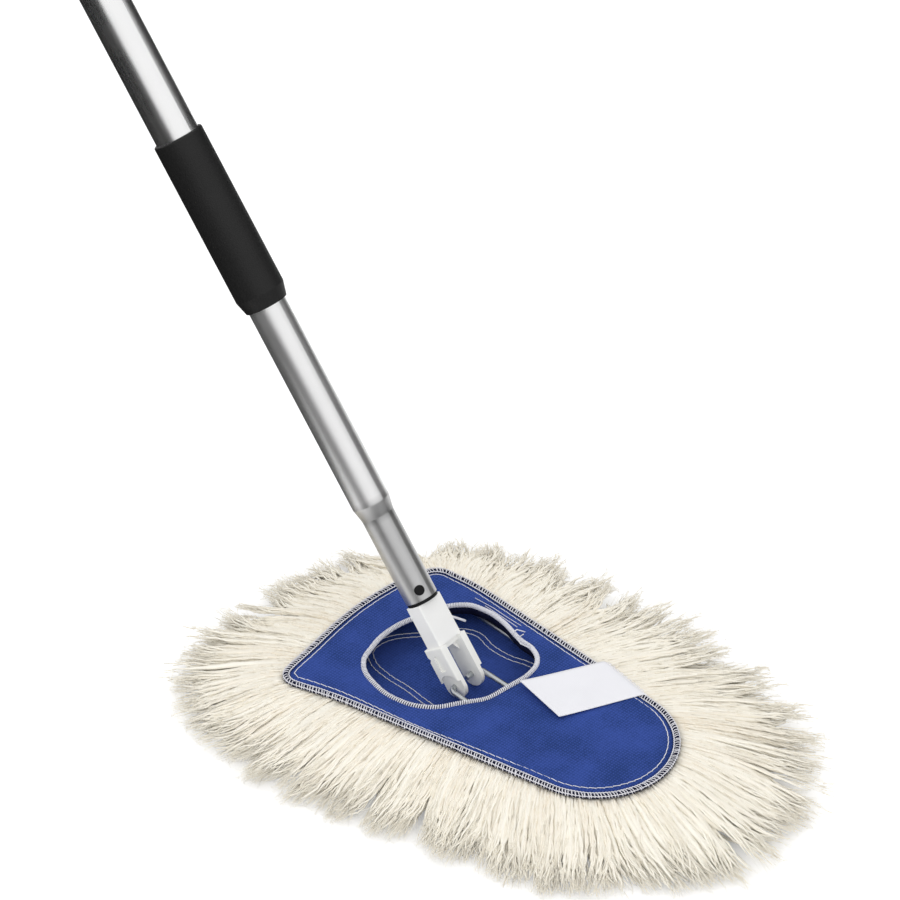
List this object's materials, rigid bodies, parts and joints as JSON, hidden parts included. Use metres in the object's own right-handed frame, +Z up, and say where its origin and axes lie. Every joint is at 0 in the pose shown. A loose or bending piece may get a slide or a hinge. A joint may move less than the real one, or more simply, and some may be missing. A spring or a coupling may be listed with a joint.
{
  "type": "wedge mop",
  "caption": "Wedge-shaped pocket dust mop with a cotton yarn fringe, hinged by a fork on a wire frame to a telescopic twist-lock aluminium handle.",
  "frame": {"origin": "on the floor, straight below the hinge between the wire frame and the handle's fork", "axes": "+X towards the wedge's nose, +Y to the mop's left, +Z up; the hinge runs along Y and the handle leans back over the heel, towards -X"},
  "size_m": [0.7164, 0.2585, 0.701],
  "materials": {
    "aluminium_tube": "satin, drawn",
    "black_grip": "matte foam",
    "black_moulding": "moulded",
    "white_block": "moulded",
    "pale_fork": "moulded",
    "frame_wire": "zinc plated",
    "steel_hardware": "plated",
    "lock_moulding": "moulded",
    "blue_cloth": "plain woven",
    "white_binding": "overlocked thread",
    "white_tag": "satin woven, blank",
    "cotton_yarn": "twisted, cut ends"
  },
  "bodies": {
    "head": {"wire_frame": "frame_wire", "sole_pile": "cotton_yarn", "base_cloth": "blue_cloth", "cover_cloth": "blue_cloth", "opening_hem": "white_binding", "serged_edge": "white_binding", "side_tag": "white_tag", "fringe_nose": "cotton_yarn", "fringe_left": "cotton_yarn", "fringe_heel": "cotton_yarn", "fringe_right": "cotton_yarn"},
    "handle_lower": {"yoke_fork": "pale_fork", "spacer_block": "white_block", "neck_plug": "black_moulding", "yoke_screw": "steel_hardware", "button_spring": "steel_hardware", "lower_tube": "aluminium_tube", "lock_plug": "lock_moulding", "lock_stud": "steel_hardware", "stop_nut": "steel_hardware"},
    "button": {"snap_button": "black_moulding"},
    "lock": {"expander_sleeve": "lock_moulding", "expander_cone": "lock_moulding"},
    "handle_upper": {"upper_tube": "aluminium_tube", "guide_bush": "lock_moulding", "grip_sleeve": "black_grip", "end_cap": "black_moulding"}
  },
  "joints": [
    {"name": "handle_pivot", "type": "hinge", "parent": "head", "child": "handle_lower", "pos_m": [0, 0, 0.022], "axis": [0, 1, 0], "range_deg": [-31, 92]},
    {"name": "button_press", "type": "slide", "parent": "handle_lower", "child": "button", "axis": [-0.6835, 0.5299, -0.5021], "range_m": [0, 0.0015], "stiffness_N_per_m": 600, "springref_m": -0.002, "deforming": ["button_spring"]},
    {"name": "lock_twist", "type": "hinge", "parent": "handle_lower", "child": "lock", "pos_m": [-0.37119, 0, 0.52732], "axis": [-0.592, 0, 0.8059], "range_deg": [-270, 0]},
    {"name": "telescope", "type": "slide", "parent": "lock", "child": "handle_upper", "axis": [-0.592, 0, 0.8059], "range_m": [-0.115, 0.33]}
  ]
}
